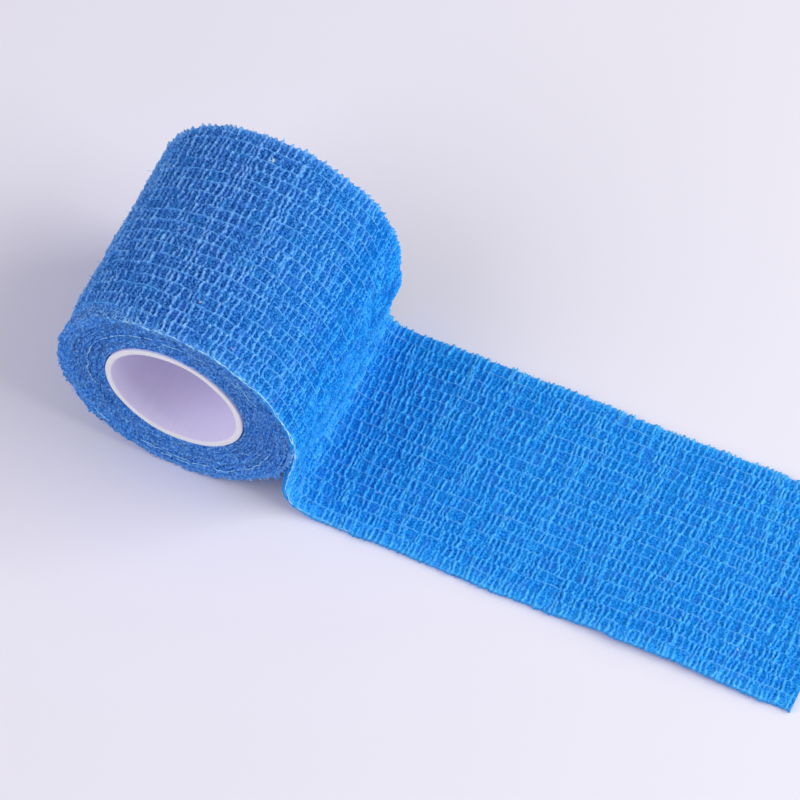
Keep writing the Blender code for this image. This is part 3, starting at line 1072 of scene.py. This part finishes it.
def make_core_mesh():
    """A tube turned from its wall's section, with rounded, slightly uneven rims."""
    bm = bmesh.new()
    half = (core_high.y - core_low.y) / 2.0 / MM
    inner = CORE_RADIUS - CORE_WALL
    corners = ((inner, -half), (CORE_RADIUS, -half), (CORE_RADIUS, half), (inner, half))
    section = bm.faces.new([bm.verts.new((radius * MM, y * MM, 0.0)) for radius, y in corners])
    bmesh.ops.bevel(
        bm,
        geom=section.verts[:],
        offset=RIM_ROUNDING * MM,
        offset_type="OFFSET",
        segments=RIM_SEGMENTS,
        profile=0.5,
        affect="VERTICES",
        material=-1,
    )
    bmesh.ops.delete(bm, geom=bm.faces[:], context="FACES_ONLY")
    bmesh.ops.spin(
        bm,
        geom=bm.edges[:],
        cent=(0.0, 0.0, 0.0),
        axis=(0.0, 1.0, 0.0),
        angle=FULL_TURN,
        steps=CORE_STEPS,
        use_merge=True,
    )
    bmesh.ops.remove_doubles(bm, verts=bm.verts[:], dist=WELD_DISTANCE * MM)
    for vertex in bm.verts:
        wave = saw_wave(math.atan2(vertex.co.z, vertex.co.x))
        vertex.co.y += RIM_UNEVENNESS * MM * wave * vertex.co.y / (half * MM)
        vertex.co.x += core_shift(vertex.co.y / MM) * MM
    bmesh.ops.translate(bm, verts=bm.verts[:], vec=(0.0, 0.0, AXIS_HEIGHT * MM))
    bmesh.ops.recalc_face_normals(bm, faces=bm.faces[:])
    for face in bm.faces:
        face.smooth = True
    mesh = mesh_from(bm, "core_liner")
    mesh.set_sharp_from_angle(angle=SHARP_ANGLE)
    paint_points(mesh, "sawn", [abs(vertex.co.y) / MM > half - SAWN_DEPTH for vertex in mesh.vertices])
    return mesh


core_mesh = make_core_mesh()
print("the core's wall is", CORE_WALL, "mm thick")

# %% [markdown]
# Polystyrene is white with a soft satin shine, and lets a little light into its surface. Extruding it
# leaves faint lines along the tube. They are too fine to see from a step away, and show only as a
# slight unevenness of the shine. The sawn rim has lost the tube's cool skin and is a warmer white.

# %% The core's material
PLASTIC_WHITE = "EEE9FF"
PLASTIC_SHADE = "E4DEFA"
SAWN_WHITE = "F1F1F2"
DRAW_LINE_SIZE = 0.8
DRAW_LINE_LENGTH_SCALE = 0.04


def make_plastic():
    plastic, tree = new_material("extruded_polystyrene_white")
    place = add_node(tree, "TexCoord", {}, out="Object")
    drawn_out = add_node(tree, "Mapping", {"Scale": (1.0, DRAW_LINE_LENGTH_SCALE, 1.0), "Vector": place})
    pattern = {"Scale": 1.0 / (DRAW_LINE_SIZE * MM), "Detail": 2.0, "Roughness": 0.6, "Vector": drawn_out}
    lines = add_node(tree, "TexNoise", pattern)
    whites = {0: lines, MIX_A: hex_colour(PLASTIC_WHITE), MIX_B: hex_colour(PLASTIC_SHADE)}
    skin = add_node(tree, "Mix", {"data_type": "RGBA", **whites}, out=MIX_RESULT)
    sawn = add_node(tree, "Attribute", {"attribute_name": "sawn"}, out="Fac")
    tones = {0: sawn, MIX_A: skin, MIX_B: hex_colour(SAWN_WHITE)}
    body = {
        "Base Color": add_node(tree, "Mix", {"data_type": "RGBA", **tones}, out=MIX_RESULT),
        "Roughness": add_node(tree, "MapRange", {"To Min": 0.38, "To Max": 0.5, "Value": lines}),
        "Normal": add_node(tree, "Bump", {"Strength": 0.15, "Distance": 0.05 * MM, "Height": lines}),
        "IOR": 1.55,
        "Subsurface Weight": 0.08,
        "Subsurface Scale": 1.0 * MM,
    }
    add_node(tree, "OutputMaterial", {"Surface": add_node(tree, "BsdfPrincipled", body)})
    return plastic


core_liner = finish_piece("core_liner", core_mesh, make_plastic())
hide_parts("core_tube")

# %% [markdown]
# Threads and fibres
#
# The elastic threads lie in the cloth's outer face. They are thin tubes, so they are drawn as curves
# with a round bevel and then turned to meshes. The same function makes the loose fibres, which are
# shorter and thinner. The threads are spandex covered with fine blue yarn. They look paler than the
# fleece and are almost as matt.


# %% Curves to meshes
def make_strands(name, paths, radius, material):
    """Thin tubes along a list of paths in mm, as one mesh."""
    curve = bpy.data.curves.new(name, "CURVE")
    curve.dimensions = "3D"
    curve.bevel_depth = radius * MM
    curve.bevel_resolution = 0
    curve.use_fill_caps = True
    for path in paths:
        spline = curve.splines.new("POLY")
        spline.points.add(len(path) - 1)
        placed = np.concatenate((np.asarray(path) * MM, np.ones((len(path), 1))), axis=1)
        spline.points.foreach_set("co", placed.ravel())
    drawn = add_object(name + "_drawn", curve)
    bpy.context.view_layer.update()
    graph = bpy.context.evaluated_depsgraph_get()
    mesh = bpy.data.meshes.new_from_object(drawn.evaluated_get(graph))
    bpy.data.objects.remove(drawn)
    bpy.data.curves.remove(curve)
    mesh.name = name
    mesh.shade_smooth()
    mesh.materials.clear()
    return finish_piece(name, mesh, material)


def above_table(points, radius):
    """Lift the points of a strand so that it doesn't sink into the table."""
    points[..., 2] = np.maximum(points[..., 2], radius + TABLE_CLEARANCE)
    return points


# %% The threads' material
def make_yarn(name, low, high, grain):
    """Covered yarn, mottled from two colours."""
    yarn, tree = new_material(name)
    place = add_node(tree, "TexCoord", {}, out="Object")
    pattern = {"Scale": 1.0 / (grain * MM), "Detail": 2.0, "Roughness": 0.6, "Vector": place}
    mottle = add_node(tree, "TexNoise", pattern)
    tone = dyed(tree, hex_colour(low), Dye(mottle, hex_colour(high), starts=0.35, full=0.65))
    satin = {"Roughness": 0.7, "Specular IOR Level": 0.04, "Base Color": tone}
    add_node(tree, "OutputMaterial", {"Surface": add_node(tree, "BsdfPrincipled", satin)})
    return yarn


covered_yarn = make_yarn("covered_elastic_yarn", low="4CB2FF", high="7ACCFF", grain=1.6)
print("yarn nodes:", len(covered_yarn.node_tree.nodes))

# %% The elastic threads
THREAD_RADIUS = 0.08
THREAD_STEP = 0.5
THREAD_COVER = 0.9
THREAD_LIFT = 0.1
THREAD_OVERHANG = 0.3
THREAD_SWAY = Grain(0.9, 1.0, 0.05, seed=51)
THREAD_HEAVE = Grain(1.6, 1.0, 0.05, seed=52)


def thread_path(across):
    """The route of a thread along the cloth's outer face; where it doesn't show, it lies deeper."""
    along = np.arange(TUCKED_END, CUT_END + THREAD_OVERHANG, THREAD_STEP)
    place = across + pushed_sideways(along, across) + soft_noise(along, across, THREAD_SWAY)
    height = HALF_THICKNESS + GROUND + FOLD_RISE * THREAD_RISE + THREAD_LIFT
    height = height - THREAD_COVER * (1.0 - thread_shows(along, across)) + wound_form(along, place)
    height = height + soft_noise(along, across, THREAD_HEAVE) + soft_noise(along, place, LOOSENESS)
    return above_table(strip_points(along, place, height), THREAD_RADIUS)


thread_paths = [thread_path(FIRST_THREAD + THREAD_PITCH * lane) for lane in range(1, LANE_COUNT)]
elastic_threads = make_strands("elastic_threads", thread_paths, THREAD_RADIUS, covered_yarn)

# %% [markdown]
# Loose threads
#
# Two pale threads have come free of the fleece. One lies along the near edge of the outermost wrap,
# first in broken bits and then as a line that runs down the drop to the table. The other is wound in
# with the strip, and peeps out of the near face as one thin spiral that comes and goes. They are the
# elastic's bare core, so they look almost white.

# %% The thread along the near edge
LOOSE_THREAD_RADIUS = 0.09
LOOSE_STEP = 0.3
STRAND_SPACING = 3.0
SELVEDGE_STAND_OUT = 0.12
SELVEDGE_SWAY = (Grain(2.6, 1.0, 0.2, seed=61), Grain(0.8, 1.0, 0.16, seed=65))
SELVEDGE_LIFT = 0.16
SELVEDGE_HEAVE = Grain(1.3, 1.0, 0.16, seed=66)
SELVEDGE_SINK = 0.25
SINK_STRETCH = (2.0, 14.0)

Run = namedtuple("Run", "start end shortest longest gap")
SELVEDGE_RUNS = (
    Run(-66.0, -34.0, shortest=0.8, longest=3.2, gap=1.1),
    Run(-64.0, -30.0, shortest=0.6, longest=1.6, gap=2.2),
    Run(-34.0, 16.0, shortest=5.0, longest=14.0, gap=0.5),
    Run(-30.0, 14.0, shortest=1.5, longest=6.0, gap=2.4),
    Run(16.0, 34.0, shortest=1.5, longest=5.0, gap=1.4),
)


def selvedge_path(start, end, strand):
    """A stretch of the thread that lies along the near edge."""
    along = np.arange(start, end, LOOSE_STEP)
    level = STRAND_SPACING * strand
    across = -HALF_WIDTH - SELVEDGE_STAND_OUT + soft_noise(along, level, *SELVEDGE_SWAY)
    height = HALF_THICKNESS + SELVEDGE_LIFT + soft_noise(along, level, SELVEDGE_HEAVE)
    height = height - SELVEDGE_SINK * ramp(along, SINK_STRETCH) + wound_form(along, across)
    return above_table(strip_points(along, across, height), LOOSE_THREAD_RADIUS)


def broken_bits(run, random):
    """Cut a run into bits of random length, with gaps between them."""
    bits = []
    start = run.start
    while start < run.end - run.shortest:
        stop = start + random.uniform(run.shortest, run.longest)
        bits.append((start, min(stop, run.end)))
        start = stop + run.gap * random.uniform(0.4, 1.6)
    return bits


print(len(SELVEDGE_RUNS), "runs along the edge")

# %% The thread on the near face
FACE_THREAD = (
    (-141.0, 24.7), (-115.0, 23.4), (-65.0, 23.2), (-16.0, 22.2), (20.0, 21.9),
    (75.0, 20.8), (110.0, 20.9), (150.0, 20.3), (202.0, 20.0),
)
FACE_STEP = 0.9
FACE_SWAY = Grain(2.6, 1.0, 0.22, seed=62)
FACE_HEAVE = Grain(9.0, 1.0, 0.22, seed=63)
FACE_LIFT = 0.24
SHORTEST_FACE_BIT = 3.0
FACE_GAP = 1.6

FaceRun = namedtuple("FaceRun", "start end longest shift")
FACE_RUNS = (
    FaceRun(-141.0, -128.0, longest=15.0, shift=0.0),
    FaceRun(-112.0, -18.0, longest=15.0, shift=0.0),
    FaceRun(30.0, 64.0, longest=15.0, shift=0.0),
    FaceRun(70.0, 98.0, longest=15.0, shift=0.0),
    FaceRun(101.0, 146.0, longest=15.0, shift=0.0),
    FaceRun(156.0, 203.0, longest=15.0, shift=0.0),
    FaceRun(34.0, 60.0, longest=9.0, shift=0.75),
    FaceRun(-100.0, -84.0, longest=9.0, shift=0.4),
    FaceRun(40.0, 56.0, longest=9.0, shift=1.5),
)


def face_thread_path(start, end, shift):
    """A stretch of the thread that shows on the near face, between two angles in degrees."""
    angles = np.arange(start, end, FACE_STEP)
    radius = follow(FACE_THREAD, angles) + shift + soft_noise(angles, shift, FACE_SWAY)
    y = -HALF_WIDTH - face_stand_out(radius, NEAR) - FACE_LIFT - soft_noise(angles, shift, FACE_HEAVE)
    turned = np.radians(angles)
    return np.stack((radius * np.cos(turned), y, AXIS_HEIGHT + radius * np.sin(turned)), axis=-1)


bare_yarn = make_yarn("bare_elastic_core", low="74CCFF", high="CCF4FF", grain=0.9)
bit_random = np.random.default_rng(64)
loose_paths = []
for strand, run in enumerate(SELVEDGE_RUNS):
    loose_paths += [selvedge_path(*bit, strand) for bit in broken_bits(run, bit_random)]
for face_run in FACE_RUNS:
    run = Run(face_run.start, face_run.end, SHORTEST_FACE_BIT, face_run.longest, FACE_GAP)
    loose_paths += [face_thread_path(*bit, face_run.shift) for bit in broken_bits(run, bit_random)]
loose_threads = make_strands("loose_threads", loose_paths, LOOSE_THREAD_RADIUS, bare_yarn)

# %% [markdown]
# Fibres
#
# Spun-bonded fleece sheds short fibres wherever it is cut, so its edges and the roll's end faces are
# fuzzy. Each fibre starts in the cloth and curves out of it. The real ones are 0.02 mm thick, too
# fine for this picture, so fewer and thicker ones are drawn. A few pale bits of lint stick to the
# cloth, and pale fibres stand in the frayed near edge where the outermost wrap slips back.

# %% Short curved fibres
FIBRE_RADIUS = 0.035
FIBRE_POINTS = 4
FIBRE_BEND = 0.45
FIBRE_LENGTHS = (0.4, 1.3)


def unit(vectors):
    """The vectors, made 1 long."""
    return vectors / np.linalg.norm(vectors, axis=-1)[:, None]


def fibre_paths(roots, outward, length, stray, seed):
    """One short curved path from each root; stray says how far they turn from outward."""
    random = np.random.default_rng(seed)
    count = len(roots)
    heading = unit(outward + stray * random.normal(0.0, 1.0, (count, 3)))
    bend = random.normal(0.0, FIBRE_BEND, (count, 3))
    lengths = length * random.uniform(*FIBRE_LENGTHS, count)[:, None]
    shares = np.arange(FIBRE_POINTS) / (FIBRE_POINTS - 1.0)
    steps = [roots + lengths * (heading * share + bend * share * share) for share in shares]
    return list(above_table(np.stack(steps, axis=1), FIBRE_RADIUS))


def cloth_roots(along, across, sink):
    """Points just under the cloth's outer face, and the way outward there."""
    relief, rise = crinkle(along, across)
    height = HALF_THICKNESS + relief - sink + wound_form(along, across)
    place = across + pushed_sideways(along, across)
    roots = strip_points(along, place, height)
    return roots, unit(strip_points(along, place, height + 1.0) - roots + 1e-6)


fibre_yarn = make_yarn("shed_polyester_fibre", low="2E90EE", high="7AC2FF", grain=1.2)
print("fibres have", FIBRE_POINTS, "points each")

# %% Fibres at the cut edges
EDGE_FIBRES = 2600
FIBRES_START = -150.0
NEAR_EDGE_SHARE = 0.55
ACROSS = np.array((0.0, 1.0, 0.0))

random = np.random.default_rng(71)
along = random.uniform(FIBRES_START, CUT_END, EDGE_FIBRES)
side = np.where(random.random(EDGE_FIBRES) < NEAR_EDGE_SHARE, NEAR, FAR)
sink = random.uniform(0.05, 0.6, EDGE_FIBRES)
roots, up = cloth_roots(along, side * (HALF_WIDTH - 0.1), sink)
paths = fibre_paths(roots, 0.35 * up + np.outer(side, ACROSS), length=0.36, stray=0.55, seed=72)
edge_fibres = make_strands("edge_fibres", paths, FIBRE_RADIUS, fibre_yarn)

# %% Fibres of the end faces
FACE_FIBRES = 3600
FACE_RADII = (16.6, 27.0)
NEAR_FACE_SHARE = 0.7

random = np.random.default_rng(73)
radius = np.sqrt(random.uniform(FACE_RADII[0] ** 2, FACE_RADII[1] ** 2, FACE_FIBRES))
angle = random.uniform(0.0, FULL_TURN, FACE_FIBRES)
side = np.where(random.random(FACE_FIBRES) < NEAR_FACE_SHARE, NEAR, FAR)
y = side * (HALF_WIDTH - 0.15 + face_stand_out(radius, side))
roots = np.stack((radius * np.cos(angle), y, AXIS_HEIGHT + radius * np.sin(angle)), axis=-1)
paths = fibre_paths(roots, 0.5 * np.outer(side, ACROSS), length=0.45, stray=0.5, seed=74)
face_fibres = make_strands("face_fibres", paths, FIBRE_RADIUS, fibre_yarn)

# %% Fibres of the outer face, and the tufts
SURFACE_FIBRES = 2200
SURFACE_REACH = HALF_WIDTH - 0.5

Tuft = namedtuple("Tuft", "place count length width")
TUFTS = (
    Tuft((22.8, -25.2, 12.6), count=90, length=1.2, width=0.9),
    Tuft((24.0, 25.3, 37.5), count=26, length=1.5, width=0.5),
)

random = np.random.default_rng(75)
along = random.uniform(FIBRES_START, CUT_END, SURFACE_FIBRES)
across = random.uniform(-SURFACE_REACH, SURFACE_REACH, SURFACE_FIBRES)
roots, up = cloth_roots(along, across, 0.05)
paths = fibre_paths(roots, 0.5 * up, length=0.7, stray=0.6, seed=76)
for tuft in TUFTS:
    roots = np.array(tuft.place) + random.normal(0.0, tuft.width / 2.0, (tuft.count, 3))
    paths += fibre_paths(roots, 0.0 * roots, tuft.length, stray=1.0, seed=77)
surface_fibres = make_strands("surface_fibres", paths, FIBRE_RADIUS, fibre_yarn)

# %% Bits of lint
LINT_SPREAD = 0.13

Lint = namedtuple("Lint", "along across count")
LINT_BITS = (
    Lint(-43.5, 20.1, count=46),
    Lint(-42.0, -15.5, count=10),
    Lint(-35.2, -0.8, count=5),
    Lint(-33.5, 10.4, count=5),
    Lint(-31.7, -21.0, count=6),
    Lint(-53.5, -1.5, count=4),
    Lint(-18.5, -23.7, count=7),
    Lint(119.0, -17.0, count=8),
    Lint(36.0, -14.0, count=4),
)

cotton = make_yarn("cotton_lint_white", low="D8F4FF", high="F2FCFF", grain=0.9)
random = np.random.default_rng(81)
paths = []
for lint in LINT_BITS:
    along = lint.along + LINT_SPREAD * random.normal(0.0, 1.0, lint.count)
    across = lint.across + LINT_SPREAD * random.normal(0.0, 1.0, lint.count)
    roots, up = cloth_roots(along, across, -0.05)
    paths += fibre_paths(roots, 0.3 * up, length=0.5, stray=0.8, seed=82)
lint_bits = make_strands("lint_bits", paths, FIBRE_RADIUS, cotton)

# %% The frayed near edge
FRAY_FIBRES = 480
FRAY_STRETCH = (-100.0, -45.0)
FRAY_WIDTH = 1.1

along = random.uniform(*FRAY_STRETCH, FRAY_FIBRES)
across = -HALF_WIDTH + np.abs(random.normal(0.0, FRAY_WIDTH, FRAY_FIBRES))
roots, up = cloth_roots(along, across, 0.05)
paths = fibre_paths(roots, 0.5 * up - 0.4 * ACROSS, length=0.6, stray=0.6, seed=83)
frayed_edge = make_strands("frayed_edge", paths, FIBRE_RADIUS, bare_yarn)
